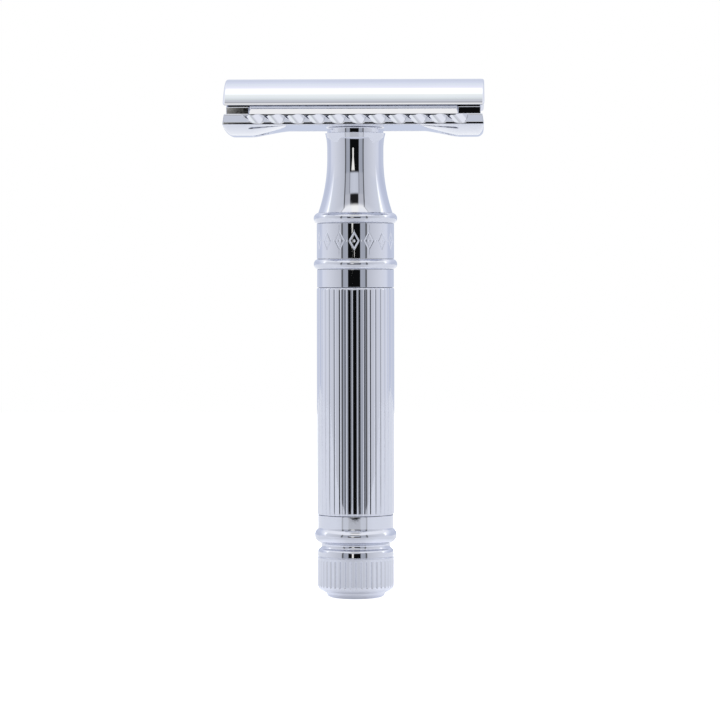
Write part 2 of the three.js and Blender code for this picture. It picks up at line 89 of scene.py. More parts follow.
# The razor's head, and the space in it for a bent blade.
BEND_RADIUS = 35.26
BLADE_THICKNESS = 0.1
BLADE_CLEARANCE = 0.05
CROWN_RADIUS = 13.34
BAR_TOP = 80.66
PLATE_UNDER = 78.85
BAR_INNER = 10.65
CHANNEL_HALF_LENGTH = 17.3
SCALLOP_PITCH = 3.34
SCALLOP_INNER = (1.5, 10.65, 80.5)
SCALLOP_BREAK = (1.07, 11.13, 80.38)
SCALLOP_OUTER = (0.4, 11.87, 79.58)
STEEP_RADIUS = 1.95
FLAT_RADIUS = 1.75
SCALLOPS_A_SIDE = 5
STUD_HOLE_RADIUS = 2.75
PEG_HOLE_RADIUS = 1.7
THREAD_PITCH = 0.8

# The head is seen turned by this angle on its handle, so the camera stands at it. The
# room's dark front panel and its cream card hang this far to the left.
HEAD_YAW = 1.8
ROOM_TURN = 4.0
CARD_TURN = 9.0


def node_box(node):
    """A CAD node's lowest and highest corners in millimetres."""
    low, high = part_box(node)
    return np.array(low) / MM, np.array(high) / MM


# ---------------------------------------------------------------- meshes


def make_object(name, points, faces, normals=None):
    """A mesh object from points in millimetres."""
    mesh = bpy.data.meshes.new(name)
    mesh.from_pydata((np.asarray(points, float) * MM).tolist(), [], faces)
    mesh.validate()
    mesh.polygons.foreach_set("use_smooth", [True] * len(mesh.polygons))
    if normals is None:
        mesh.set_sharp_from_angle(angle=SMOOTH_ANGLE)
    else:
        mesh.normals_split_custom_set_from_vertices(normals.tolist())
    mesh.update()
    piece = bpy.data.objects.new(name, mesh)
    bpy.context.scene.collection.objects.link(piece)
    return piece


def place(piece, body, slot, material, *nodes):
    """Gives a finished piece its material and body, and hides the CAD nodes it stands for; slot
    is not used.
    """
    piece.data.materials.clear()
    piece.data.materials.append(material)
    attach(piece, body)
    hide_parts(*nodes)


def carried_over(node, material):
    """Gives a CAD node that is shown as it is its material, set on the object in each of its
    material slots.
    """
    piece = next(o for o in bpy.data.objects if o.get("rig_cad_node") == node)
    for holder in piece.material_slots:
        holder.link = "OBJECT"
        holder.material = material


def arc(u, v, radius, start, end, steps):
    """Points of a circular arc, angles in degrees."""
    angles = np.radians(np.linspace(start, end, steps + 1))
    return [(u + radius * math.cos(a), v + radius * math.sin(a)) for a in angles]


def rounded(outline):
    """A closed outline whose corners (u, v, radius) are rounded; (u, v) points stay."""
    points = []
    count = len(outline)
    for i, corner in enumerate(outline):
        here = Vector(corner[:2])
        radius = corner[2] if len(corner) > 2 else 0
        if not radius:
            points.append(tuple(here))
            continue
        back = Vector(outline[i - 1][:2]) - here
        ahead = Vector(outline[(i + 1) % count][:2]) - here
        half = back.angle(ahead) / 2
        cut = min(radius / math.tan(half), 0.48 * back.length, 0.48 * ahead.length)
        first, last = here + back.normalized() * cut, here + ahead.normalized() * cut
        for k in range(CORNER_STEPS + 1):
            t = k / CORNER_STEPS
            points.append(tuple(first * (1 - t) ** 2 + here * 2 * t * (1 - t) + last * t * t))
    return points


def supported(outline, near=0.03):
    """The outline with a point close to both ends of each long side, so that smooth shading
    keeps the side flat."""
    points = []
    for i, here in enumerate(outline):
        after = outline[(i + 1) % len(outline)]
        points.append(tuple(here))
        length = math.hypot(after[0] - here[0], after[1] - here[1])
        if length > 12 * near:
            for share in (near / length, 1 - near / length):
                points.append((here[0] + (after[0] - here[0]) * share,
                               here[1] + (after[1] - here[1]) * share))
    return points


def turn(name, outline, steps=TURN_STEPS, shape=None):
    """Turns a closed (radius, height) outline about Z. shape(angle, radius, height) gives
    the radius to use, on arrays of points by angle."""
    outline = np.array(supported(outline), float)
    angles = np.linspace(0, 2 * math.pi, steps, endpoint=False)
    angle, radius = np.meshgrid(angles, outline[:, 0], indexing="ij")
    height = np.broadcast_to(outline[:, 1], radius.shape)
    if shape is not None:
        radius = shape(angle, radius, height)
    grid = np.stack([radius * np.sin(angle), -radius * np.cos(angle), height], axis=-1)
    rows = len(outline)
    index = np.arange(steps * rows).reshape(steps, rows)
    axial = [k for k in range(rows) if outline[k, 0] < 1e-6]
    for k in axial:
        index[:, k] = index[0, k]
    faces = []
    for k in range(rows):
        k2 = (k + 1) % rows
        if k in axial and k2 in axial:
            continue
        a, b = index[:, k], index[:, k2]
        c, d = np.roll(b, -1), np.roll(a, -1)
        if k in axial:
            faces += np.stack([a, c, b], axis=1).tolist()
        elif k2 in axial:
            faces += np.stack([a, d, b], axis=1).tolist()
        else:
            faces += np.stack([a, d, c, b], axis=1).tolist()
    used = np.unique(index)
    lookup = np.zeros(steps * rows, int)
    lookup[used] = np.arange(len(used))
    points = grid.reshape(-1, 3)[used]
    faces = [[int(lookup[v]) for v in face] for face in faces]
    return make_object(name, points, outward(points, faces))


def outward(points, faces):
    """The faces, turned over if they enclose a negative volume."""
    volume = 0.0
    for face in faces:
        first = points[face[0]]
        for k in range(1, len(face) - 1):
            volume += np.dot(first, np.cross(points[face[k]], points[face[k + 1]]))
    return faces if volume > 0 else [face[::-1] for face in faces]


def dense(outline, start, end, near):
    """The outline with points added between two heights: closely over the length near
    at both ends, and sparsely between."""
    heights = np.concatenate([
        np.linspace(start, start + near, 13), np.linspace(start + near, end - near, 5)[1:-1],
        np.linspace(end - near, end, 13),
    ])
    points = []
    for i, (u, v) in enumerate(outline):
        points.append((u, v))
        u2, v2 = outline[(i + 1) % len(outline)]
        if abs(u2 - u) < 1e-3 and abs(v2 - v) > near:
            inside = [h for h in heights if min(v, v2) + 1e-3 < h < max(v, v2) - 1e-3]
            points += [(u, h) for h in (inside if v2 > v else inside[::-1])]
    return points


def flute_shape(radius, start, end, count, half_width, depth, phase):
    """Grooves along Z cut into a turned surface of the given radius, with round ends."""
    pitch = 2 * math.pi / count

    def shape(angle, surface, height):
        offset = (angle - math.radians(phase) + pitch / 2) % pitch - pitch / 2
        beyond = np.maximum(np.maximum(start + half_width - height, height - end + half_width), 0)
        reach = np.hypot(offset * radius, beyond) / half_width
        groove = depth * 0.5 * (1 + np.cos(math.pi * np.clip(reach, 0, 1)))
        return np.where(surface > radius - 0.5, surface - groove, surface)

    return shape


# ---------------------------------------------------------------- surfaces by distance


def soft_max(a, b, blend):
    """The larger of two distances, with the edge between them rounded."""
    return np.maximum(a, b) + np.maximum(blend - np.abs(a - b), 0) ** 2 / (4 * blend)


def soft_min(a, b, blend):
    """The smaller of two distances, with the edge between them rounded."""
    return -soft_max(-a, -b, blend)


def spaced(*stretches):
    """Grid stations from (start, end, step) stretches that follow each other."""
    stations = [np.array([stretches[0][0]], float)]
    for start, end, step in stretches:
        count = max(1, round((end - start) / step))
        stations.append(np.linspace(start, end, count + 1)[1:])
    return np.concatenate(stations)


def mirrored_stations(stations):
    """Stations on both sides of 0, from those at or above it."""
    return np.concatenate([-stations[:0:-1], stations])


def surface(name, distance, xs, ys, zs):
    """The mesh of the surface distance(x, y, z) = 0, negative inside: one point in each grid
    cell that the surface crosses, moved onto it, with the true normals."""
    field = distance(xs[:, None, None], ys[None, :, None], zs[None, None, :])
    inside = field < 0
    nx, ny, nz = (len(s) - 1 for s in (xs, ys, zs))
    total = np.zeros((nx, ny, nz, 3))
    count = np.zeros((nx, ny, nz))
    axes = (xs, ys, zs)
    for axis in range(3):
        low = [slice(None)] * 3
        high = [slice(None)] * 3
        low[axis], high[axis] = slice(None, -1), slice(1, None)
        f0, f1 = field[tuple(low)], field[tuple(high)]
        crossed = inside[tuple(low)] != inside[tuple(high)]
        share = np.where(crossed, f0 / np.where(crossed, f0 - f1, 1), 0)
        place_on = [np.broadcast_to(
            s.reshape([-1 if k == j else 1 for k in range(3)]), field.shape
        )[tuple(low)] for j, s in enumerate(axes)]
        step = np.diff(axes[axis]).reshape([-1 if k == axis else 1 for k in range(3)])
        place_on[axis] = place_on[axis] + share * step
        point = np.stack(place_on, axis=-1)
        others = [k for k in range(3) if k != axis]
        for first in (0, 1):
            for second in (0, 1):
                pick = [slice(None)] * 3
                pick[others[0]] = slice(first, first + (nx, ny, nz)[others[0]])
                pick[others[1]] = slice(second, second + (nx, ny, nz)[others[1]])
                hit = crossed[tuple(pick)]
                total += point[tuple(pick)] * hit[..., None]
                count += hit
    cells = np.argwhere(count > 0)
    number = -np.ones((nx, ny, nz), int)
    number[tuple(cells.T)] = np.arange(len(cells))
    points = total[tuple(cells.T)] / count[tuple(cells.T)][:, None]
    faces = []
    for axis in range(3):
        b, c = [(axis + 1) % 3, (axis + 2) % 3]
        low = [slice(None)] * 3
        high = [slice(None)] * 3
        low[axis], high[axis] = slice(None, -1), slice(1, None)
        for other in (b, c):
            low[other] = high[other] = slice(1, -1)
        crossing = inside[tuple(low)] != inside[tuple(high)]
        spots = np.argwhere(crossing)
        leaving = inside[tuple(low)][tuple(spots.T)]
        around = []
        for db, dc in ((0, 0), (1, 0), (1, 1), (0, 1)):
            spot = spots.copy()
            spot[:, b] += db
            spot[:, c] += dc
            around.append(number[tuple(spot.T)])
        quads = np.stack(around, axis=1)
        quads[~leaving] = quads[~leaving][:, ::-1]
        faces += quads.tolist()
    reach = 0.6 * min(np.diff(s).min() for s in axes)
    for _ in range(5):
        value, gradient = slope(distance, points)
        size = np.maximum((gradient ** 2).sum(axis=1), 1e-6)
        move = -(value / size)[:, None] * gradient
        length = np.maximum(np.linalg.norm(move, axis=1), 1e-9)
        points = points + move * np.minimum(1, reach / length)[:, None]
    gradient = slope(distance, points)[1]
    normals = gradient / np.maximum(np.linalg.norm(gradient, axis=1), 1e-9)[:, None]
    return make_object(name, points, faces, normals)


def slope(distance, points, step=0.004):
    """The distance and its gradient at points."""
    x, y, z = points.T
    gradient = np.stack([
        distance(x + step, y, z) - distance(x - step, y, z),
        distance(x, y + step, z) - distance(x, y - step, z),
        distance(x, y, z + step) - distance(x, y, z - step),
    ], axis=1) / (2 * step)
    return distance(x, y, z), gradient


# ---------------------------------------------------------------- materials


class Nodes:
    """A short way to build a node tree."""

    def __init__(self, tree):
        self.tree = tree
        tree.nodes.clear()

    def add(self, kind, inputs=None, **settings):
        node = self.tree.nodes.new(kind)
        for key, value in settings.items():
            setattr(node, key, value)
        for key, value in (inputs or {}).items():
            if isinstance(value, bpy.types.NodeSocket):
                self.tree.links.new(value, node.inputs[key])
            else:
                node.inputs[key].default_value = value
        return node

    def math(self, operation, a, b=0.0):
        return self.add("ShaderNodeMath", {0: a, 1: b}, operation=operation).outputs[0]

    def ramp(self, factor, stops):
        """A colour ramp; a stop's colour is (grey,) or (red, green, blue)."""
        node = self.add("ShaderNodeValToRGB", {"Fac": factor})
        elements = node.color_ramp.elements
        for k, (position, colour) in enumerate(stops):
            element = elements[k] if k < 2 else elements.new(position)
            element.position = position
            element.color = (*colour, 1) if len(colour) == 3 else (*(colour * 3), 1)
        return node.outputs["Color"]

    def step(self, value, start, end):
        """0 before start, 1 beyond end, and smooth between."""
        return self.add("ShaderNodeMapRange", {
            "Value": value, "From Min": start, "From Max": end,
        }, interpolation_type="SMOOTHSTEP").outputs[0]

    def mixed(self, factor, first, second):
        """The first colour where the factor is 0, the second where it is 1."""
        mix = self.add("ShaderNodeMix", {0: factor, 6: first, 7: second}, data_type="RGBA")
        return mix.outputs[2]


def metal(name, colour, tint, roughness, grain_scale, stretch, bump):
    """Polished or machined metal. Its colour and roughness drift with a slow noise, and
    fine grain, stretched along one axis, gives it a slight bump."""
    material = bpy.data.materials.new(name)
    material.use_nodes = True
    n = Nodes(material.node_tree)
    where = n.add("ShaderNodeTexCoord").outputs["Object"]
    drift = n.add("ShaderNodeTexNoise", {"Vector": where, "Scale": 90.0, "Detail": 3.0})
    stretched = n.add("ShaderNodeMapping", {"Vector": where, "Scale": stretch})
    grain = n.add("ShaderNodeTexNoise", {
        "Vector": stretched.outputs[0], "Scale": grain_scale, "Detail": 4.0,
    })
    base = n.ramp(drift.outputs["Fac"], [(0.3, tint), (0.7, colour)])
    low, high = roughness
    rough = n.add("ShaderNodeMapRange", {
        "Value": grain.outputs["Fac"], "From Min": 0.3, "From Max": 0.7,
        "To Min": low, "To Max": high,
    })
    relief = n.add("ShaderNodeBump", {
        "Height": grain.outputs["Fac"], "Strength": bump, "Distance": 0.00001,
    })
    shader = n.add("ShaderNodeBsdfPrincipled", {
        "Base Color": base, "Roughness": rough.outputs[0], "Normal": relief.outputs[0],
        "Metallic": 1.0,
    })
    n.add("ShaderNodeOutputMaterial", {"Surface": shader.outputs[0]})
    return material


def rubber_material():
    """Matt black rubber with a little dust."""
    material = bpy.data.materials.new("seal_rubber")
    material.use_nodes = True
    n = Nodes(material.node_tree)
    where = n.add("ShaderNodeTexCoord").outputs["Object"]
    dust = n.add("ShaderNodeTexNoise", {"Vector": where, "Scale": 1500.0, "Detail": 4.0})
    base = n.ramp(dust.outputs["Fac"], [
        (0.35, (0.012, 0.012, 0.013)), (0.75, (0.03, 0.03, 0.032)),
    ])
    rough = n.add("ShaderNodeMapRange", {
        "Value": dust.outputs["Fac"], "To Min": 0.45, "To Max": 0.7,
    })
    shader = n.add("ShaderNodeBsdfPrincipled", {
        "Base Color": base, "Roughness": rough.outputs[0],
    })
    n.add("ShaderNodeOutputMaterial", {"Surface": shader.outputs[0]})
    return material


CHROME = metal("polished_chrome", (0.64, 0.66, 0.735), (0.615, 0.635, 0.715), (0.015, 0.04),
               2500.0, (1, 1, 1), 0.02)
BRASS = metal("brass", (0.78, 0.56, 0.25), (0.70, 0.49, 0.21), (0.14, 0.28),
              1800.0, (1, 1, 6), 0.15)
STEEL = metal("plain_steel", (0.55, 0.56, 0.57), (0.47, 0.48, 0.5), (0.2, 0.35),
              1800.0, (1, 1, 6), 0.15)
RUBBER = rubber_material()


# ---------------------------------------------------------------- handle


def band_ring(node, corner=0.06):
    """A plain turned ring with rounded edges."""
    low, high = node_box(node)
    return rounded([
        (RING_BORE, low[2]), (high[0], low[2], corner), (high[0], high[2], corner),
        (RING_BORE, high[2]),
    ])


def bead_ring(node):
    """A ring with a round bead: the bead meets a narrow flat at both faces."""
    low, high = node_box(node)
    bore, waist = RING_BORE, BEAD_WAIST
    middle, half = (low[2] + high[2]) / 2, (high[2] - low[2]) / 2
    reach = half - 0.07
    rise = high[0] - waist
    radius = (reach ** 2 + rise ** 2) / (2 * rise)
    sweep = math.degrees(math.asin(reach / radius))
    return [
        (bore, low[2]), (waist - 0.12, low[2]), (waist - 0.02, low[2] + 0.03),
        *arc(high[0] - radius, middle, radius, -sweep, sweep, 24),
        (waist - 0.02, high[2] - 0.03), (waist - 0.12, high[2]), (bore, high[2]),
    ]


def foot_outline():
    """The foot: a flat, an elliptic edge up to the knob, and the plug inside the knob."""
    high = node_box("foot_disc")[1]
    rim, edge = high[0], node_box("end_knob")[0][2]
    curve = [
        (FOOT_FLAT + (rim - FOOT_FLAT) * math.sin(t), edge * (1 - math.cos(t)))
        for t in np.linspace(0.1, math.pi / 2, 12)
    ]
    return [(0, 0), (FOOT_FLAT, 0), *curve, (PLUG_RADIUS, edge), (PLUG_RADIUS, high[2]),
            (0, high[2])]


def knob_outline():
    """The knob: a rolled lower edge, a fine groove above the flutes, a rounded shoulder and
    a spigot, with the foot's pocket and the rod's bore inside."""
    low, high = node_box("end_knob")
    bottom, top, radius = low[2], high[2], high[0]
    pocket, pocket_top, rim, edge = 4.4, 7, 5.42, 1.0
    groove_z, groove, lip = 6.9, 0.11, 0.13
    shoulder, shoulder_z, slant = 0.65, 7.7, 4.5
    return [
        (pocket, bottom), (rim, bottom), *arc(radius - edge, bottom + 1.15, edge, -66, 0, 16),
        (radius, groove_z - lip), *arc(radius, groove_z, groove, 270, 90, 8),
        (radius, groove_z + lip),
        *arc(radius - shoulder - 0.04, shoulder_z, shoulder, slant, 64, 14),
        (SPIGOT_RADIUS + 0.08, 8.42), (SPIGOT_RADIUS, 8.6), (SPIGOT_RADIUS, top),
        (ROD_BORE, top), (ROD_BORE, pocket_top), (pocket, pocket_top),
    ]


def tail_outline():
    """The collar below the grip: a round bead, a plain band and a spigot into the grip."""
    low, high = node_box("tail_collar")
    seam = node_box("grip_sleeve")[0][2]
    radius, spigot, bead, bead_z = 6.37, 4.1, 1.3, 10.5
    band = rounded([(6.0, 12.5), (radius, 12.5), (radius, seam, 0.08), (6.0, seam)])
    return [
        (ROD_BORE, low[2]), (SPIGOT_RADIUS, low[2]), (SPIGOT_RADIUS + 0.04, low[2] + 0.14),
        (SPIGOT_RADIUS + 0.18, low[2] + 0.3), *arc(high[0] - bead, bead_z, bead, -52, 52, 28),
        (radius, 11.78), *band[2:-1],
        (spigot, seam), (spigot, high[2]), (ROD_BORE, high[2]),
    ]


def grip_outline():
    """The grip: a straight tube with rounded ends."""
    low, high = node_box("grip_sleeve")
    bore, edge = 4.2, 0.45
    return rounded([
        (bore, low[2]), (GRIP_RADIUS, low[2], edge), (GRIP_RADIUS, high[2], edge),
        (bore, high[2]),
    ])


def neck_outline():
    """The neck: a long cove up to its waist, a flare and a steep cone up to the rim, and
    the threaded insert's bore."""
    low, high = node_box("handle_neck")
    seam = node_box("upper_bead_ring")[1][2]
    top = high[2]
    waist, cove, cove_z, flare, flare_z, cone_z = 4.71, 28.5, 73.8, 12.9, 75.2, 77.12
    rim, spigot = 5.05, 4.1
    sweep = math.degrees(math.asin((cone_z - flare_z) / flare))
    insert_low, insert_high = node_box("thread_insert")
    seat = insert_high[0] + 0.03
    slant = (rim - waist - flare * (1 - math.cos(math.radians(sweep)))) / (top - cone_z)
    return [
        (0, low[2]), (spigot, low[2]), (spigot, seam),
        *arc(waist + cove, cove_z, cove, 198.8, 180, 60),
        *arc(waist + flare, flare_z, flare, 180, 180 - sweep, 24),
        (rim - slant * (top - cone_z - 0.05), cone_z + 0.05),
        (rim - slant * 0.04, top - 0.06), (rim, top - 0.03), (rim - 0.04, top),
        (seat, top), (seat, insert_low[2]), (0, insert_low[2]),
    ]


def ornament_shape(angle, surface, height):
    """A row of engraved lozenges with a dot in each, and a small dot between them."""
    low, high = node_box("engraved_band")
    count, stroke, depth = 16, 0.13, 0.075
    half_tall, half_wide, dot, small_dot = 1.35, 0.78, 0.24, 0.17
    pitch = 2 * math.pi / count
    side = ((angle + pitch / 2) % pitch - pitch / 2) * high[0]
    gap = ((angle % pitch) - pitch / 2) * high[0]
    up = height - (low[2] + high[2]) / 2
    scale = 1 / math.hypot(1 / half_wide, 1 / half_tall)
    lozenge = np.abs(np.abs(side) / half_wide + np.abs(up) / half_tall - 1) * scale
    line = np.minimum(lozenge / stroke, np.hypot(side, up) / dot)
    line = np.minimum(line, np.hypot(gap, up) / small_dot)
    groove = depth * 0.5 * (1 + np.cos(math.pi * np.clip(line, 0, 1)))
    return np.where(surface > high[0] - 0.03, surface - groove, surface)


def ornament_outline():
    """The engraved band's outline, with close points where it is engraved."""
    low, high = node_box("engraved_band")
    middle, half = (low[2] + high[2]) / 2, 1.5
    outline = band_ring("engraved_band")
    heights = np.arange(middle - half, middle + half + 0.01, 0.055)
    points = []
    for i, (u, v) in enumerate(outline):
        points.append((u, v))
        u2, v2 = outline[(i + 1) % len(outline)]
        if u > 6 and abs(u2 - u) < 1e-6 and v2 - v > half:
            points += [(u, h) for h in heights]
    return points


def build_handle():
    """The chromed pieces of the handle, from the foot up."""
    def chrome_piece(node, outline, **options):
        piece = turn(node + "_fine", outline, **options)
        place(piece, "handle", "polished_chrome", CHROME, node)

    chrome_piece("foot_disc", foot_outline())
    start, end = KNOB_FLUTES_FROM, KNOB_FLUTES_TO
    chrome_piece("end_knob", dense(knob_outline(), start, end, 0.45),
                 steps=KNOB_FLUTES["count"] * 16,
                 shape=flute_shape(node_box("end_knob")[1][0], start, end, **KNOB_FLUTES))
    chrome_piece("tail_collar", tail_outline())
    start, end = (corner[2] for corner in node_box("grip_sleeve"))
    chrome_piece("grip_sleeve", dense(grip_outline(), start + 0.4, end - 0.4, 0.4),
                 steps=GRIP_FLUTES["count"] * 20,
                 shape=flute_shape(GRIP_RADIUS, start - 0.05, end + 0.05, **GRIP_FLUTES))
    chrome_piece("top_collar", band_ring("top_collar"))
    chrome_piece("lower_bead_ring", bead_ring("lower_bead_ring"))
    chrome_piece("engraved_band", ornament_outline(), steps=768, shape=ornament_shape)
    chrome_piece("upper_bead_ring", bead_ring("upper_bead_ring"))
    chrome_piece("handle_neck", neck_outline())


# ---------------------------------------------------------------- head


cap_low, cap_high = node_box("top_cap")
plate_low, plate_high = node_box("base_plate")
BED_RADIUS = BEND_RADIUS - BLADE_THICKNESS / 2 - BLADE_CLEARANCE
BEND_CENTRE = plate_high[2] - BED_RADIUS
UNDER_CAP_RADIUS = BEND_RADIUS + BLADE_THICKNESS / 2 + BLADE_CLEARANCE
STUD_RADIUS = node_box("cap_stud")[1][0]
STUD_TOP = node_box("cap_stud")[1][2]
PEG_TOP = node_box("cap_peg_right")[1][2]
PEG_X = sum(node_box("cap_peg_right")[k][0] for k in (0, 1)) / 2
PEG_RADIUS = node_box("cap_peg_right")[1][0] - PEG_X


def cap_distance(x, y, z):
    """The domed cap: a crown arc, a rolled rim, a hollow for the bent blade, and bores."""
    half_length, half_width, crown = cap_high[0], cap_high[1], cap_high[2]
    side = np.abs(y)
    dome = np.hypot(side, z - crown + CROWN_RADIUS) - CROWN_RADIUS
    hollow = UNDER_CAP_RADIUS - np.hypot(side, z - BEND_CENTRE)
    section = soft_max(dome, side - half_width, 0.5)
    section = soft_max(section, hollow, 0.12)
    ends = soft_max(section, np.abs(x) - half_length, 0.4)
    stud = np.maximum(np.hypot(x, y) - STUD_RADIUS - 0.03, z - STUD_TOP - 0.05)
    pegs = np.maximum(np.hypot(np.abs(x) - PEG_X, y) - PEG_RADIUS - 0.03, z - PEG_TOP - 0.05)
    return np.maximum(ends, -np.minimum(stud, pegs))


def cutter_distance(x, side, z, inner, outer, radius):
    """Signed distance to a row of leaning round cutters, negative in a cutter. The lowest
    line of each runs through two points of its scallop's floor."""
    inner, outer = np.array(inner), np.array(outer)
    direction = (outer - inner) / np.linalg.norm(outer - inner)
    up = np.array([0.0, 0.0, 1.0]) - direction * direction[2]
    up /= np.linalg.norm(up)
    start = inner + up * radius
    dy, dz = side - start[1], z - start[2]
    lean = direction[0] * (dy * direction[1] + dz * direction[2]) / (1 - direction[0] ** 2)
    number = np.round((x - start[0] - lean) / SCALLOP_PITCH)
    number = np.clip(number, -SCALLOPS_A_SIDE, SCALLOPS_A_SIDE)
    dx = x - number * SCALLOP_PITCH - start[0]
    run = dx * direction[0] + dy * direction[1] + dz * direction[2]
    across = dx * dx + dy * dy + dz * dz - run * run
    return np.sqrt(np.maximum(across, 0)) - radius


def scallop_distance(x, side, z):
    """The scallops of a bar: a steep outer part and a gentler inner one."""
    steep = cutter_distance(x, side, z, SCALLOP_BREAK, SCALLOP_OUTER, STEEP_RADIUS)
    gentle = cutter_distance(x, side, z, SCALLOP_INNER, SCALLOP_BREAK, FLAT_RADIUS)
    gentle = np.maximum(gentle, side - 11.6)
    return np.maximum(soft_min(steep, gentle, 0.08), 10.3 - side)


def bar_face(side, z):
    """The outer face of a guard bar: it leans inwards, more so towards its top, and stands
    on a small ridge with a hollow fillet above it."""
    ridge_top, fillet_height, ridge_depth = 79.26, 0.1, 0.135
    rise = z - ridge_top - 0.09
    lean = plate_high[1] - 0.12 - 0.087 * rise - 0.05 * rise * np.abs(rise)
    fillet = np.clip((z - ridge_top) / fillet_height, 0, 1) ** 0.6
    ridge = np.where(z < ridge_top + fillet_height, plate_high[1] - ridge_depth * fillet, 0)
    return (side - np.maximum(lean, ridge)) * 0.98


def channel_distance(long, side, z):
    """The round-ended lather channel: the straight edge of the bed, a ledge sloping outwards
    under it, and the plain inner face of the bar."""
    bed_edge, ledge_top, foot_edge = 9.3, 81.7, 9.67
    edge = side - bed_edge + 0.123 * (z - ledge_top)
    ledge = 0.938 * (side - bed_edge) + 0.346 * (z - ledge_top)
    flank = np.where(z > ledge_top, -edge, np.minimum(-ledge, foot_edge - side))
    round_end, middle = 0.72, 9.93
    ends = np.hypot(np.maximum(long - CHANNEL_HALF_LENGTH + round_end, 0), side - middle)
    ends = np.where(long > CHANNEL_HALF_LENGTH - round_end, ends - round_end, -0.5)
    return np.maximum(np.maximum(flank, ends), side - BAR_INNER)


def plate_distance(x, y, z):
    """The base plate: a slab with scalloped bars, the bed under the blade, lather channels,
    end lobes, the seat of the neck, and its holes. Both long sides are the same turned by
    half a turn, so the shape is worked out for one."""
    side = np.abs(y)
    x = np.where(y < 0, -x, x)
    long = np.abs(x)
    half_length = plate_high[0]
    web_side, web_end, web_under = 10.1, 21.0, 79.6
    lobe_start, lobe_rise, lobe_end, lobe_round, lobe_side = 10.6, 6.4, 20.4, 1.22, 11.8
    nothing, whole = 0 * long, 1 + 0 * long
    swell = soft_min(soft_max((long - lobe_start) / lobe_rise, nothing, 0.06), whole, 0.12)
    tip = np.maximum(long - lobe_end, 0) / lobe_round
    swell = swell * np.sqrt(np.clip(1 - tip ** 2, 0.02, 1))
    belly = np.clip(1 - (side / lobe_side) ** 3, 0, 1)
    floor = PLATE_UNDER - (PLATE_UNDER - plate_low[2]) * swell * belly
    slab = soft_max(z - BAR_TOP, bar_face(side, z), 0.2)
    slab = soft_max(slab, (floor - z) * 0.95, 0.1)
    draft = 0.144 * np.maximum(z - 79.12, 0)
    slab = soft_max(slab, (long - half_length + draft) * 0.99, 0.12)
    bed = soft_max(np.hypot(side, z - BEND_CENTRE) - BED_RADIUS, side - web_side, 0.06)
    bed = soft_max(bed, long - web_end, 0.12)
    bed = np.maximum(bed, web_under - z)
    solid = soft_min(slab, bed, 0.06)
    solid = soft_max(solid, -channel_distance(long, side, z), 0.07)
    solid = soft_max(solid, -scallop_distance(x, side, z), 0.08)
    stud_hole = np.hypot(x, y) - STUD_HOLE_RADIUS
    holes = np.minimum(stud_hole, np.hypot(long - PEG_X, y) - PEG_HOLE_RADIUS)
    return soft_max(solid, -holes, 0.1)


def build_head():
    """The cap with its stud and pegs, and the base plate with its boss."""
    xs = mirrored_stations(spaced((0, 18.6, 0.62), (18.6, 20.9, 0.3), (20.9, 21.8, 0.06)))
    ys = mirrored_stations(spaced((0, 9.6, 0.3), (9.6, 10.5, 0.05)))
    zs = spaced((81.85, 82.9, 0.06), (82.9, 87.2, 0.16))
    cap = surface("top_cap_fine", cap_distance, xs, ys, zs)
    place(cap, "cap", "polished_chrome", CHROME, "top_cap")

    xs = mirrored_stations(spaced((0, 18.8, 0.1), (18.8, 20.7, 0.3), (20.7, 21.7, 0.07)))
    ys = mirrored_stations(spaced((0, 5.2, 0.35), (5.2, 8, 0.3), (8, 12.2, 0.09)))
    zs = spaced((77.3, 78.5, 0.12), (78.5, 82.6, 0.09), (82.6, 83.6, 0.15))
    plate = surface("base_plate_fine", plate_distance, xs, ys, zs)
    place(plate, "guard", "polished_chrome", CHROME, "base_plate")
    boss = turn("plate_boss_fine", boss_outline())
    place(boss, "guard", "polished_chrome", CHROME, "base_plate")
    place(threaded_stud(), "cap", "brass", BRASS, "cap_stud")
    for side, x in (("left", -PEG_X), ("right", PEG_X)):
        node = "cap_peg_" + side
        peg = turn(node + "_fine", pin_outline(node, 0.3))
        for vertex in peg.data.vertices:
            vertex.co.x += x * MM
        place(peg, "cap", "polished_chrome", CHROME, node)


def boss_outline():
    """The boss that the neck bears against, with a cove up to the plate's underside."""
    seat = node_box("handle_neck")[1][2]
    radius, cove, inside = 4.75, 0.25, PLATE_UNDER + 0.3
    return [
        (STUD_HOLE_RADIUS, seat), (radius - 0.1, seat), (radius - 0.06, seat + 0.04),
        *arc(radius + cove, PLATE_UNDER + 0.01 - cove, cove, 180, 90, 10),
        (radius + cove, inside), (STUD_HOLE_RADIUS, inside),
    ]


def pin_outline(node, tip):
    """A pin with a rounded tip at its foot."""
    low, high = node_box(node)
    radius = (high[0] - low[0]) / 2
    return [
        (0, low[2]), *arc(radius - tip, low[2] + tip, tip, -90, 0, 8), (radius, high[2]),
        (0, high[2]),
    ]


def threaded_stud():
    """The stud: a screw thread below the head, plain where it passes through it."""
    low, high = node_box("cap_stud")
    depth, plain_from, tip = 0.4, 78.9, 0.5

    def thread(angle, surface, height):
        turns = (height - low[2]) / THREAD_PITCH - angle / (2 * math.pi)
        ridge = np.abs((turns % 1) - 0.5) * 2
        lift = np.clip((ridge - 0.12) / 0.76, 0, 1)
        taper = np.clip((height - low[2]) / tip, 0, 1) * depth
        runout = np.clip((plain_from - height) / THREAD_PITCH, 0, 1)
        cut = depth * (1 - lift) * runout
        chamfered = np.minimum(surface - cut, STUD_RADIUS - depth + taper)
        return np.where(surface > STUD_RADIUS - 0.6, chamfered, surface)

    heights = np.arange(low[2], plain_from, THREAD_PITCH / 10)
    outline = [(0, low[2]), *[(STUD_RADIUS, h) for h in heights], (STUD_RADIUS, high[2]),
               (0, high[2])]
    return turn("cap_stud_fine", outline, steps=96, shape=thread)


# ---------------------------------------------------------------- light, floor and camera


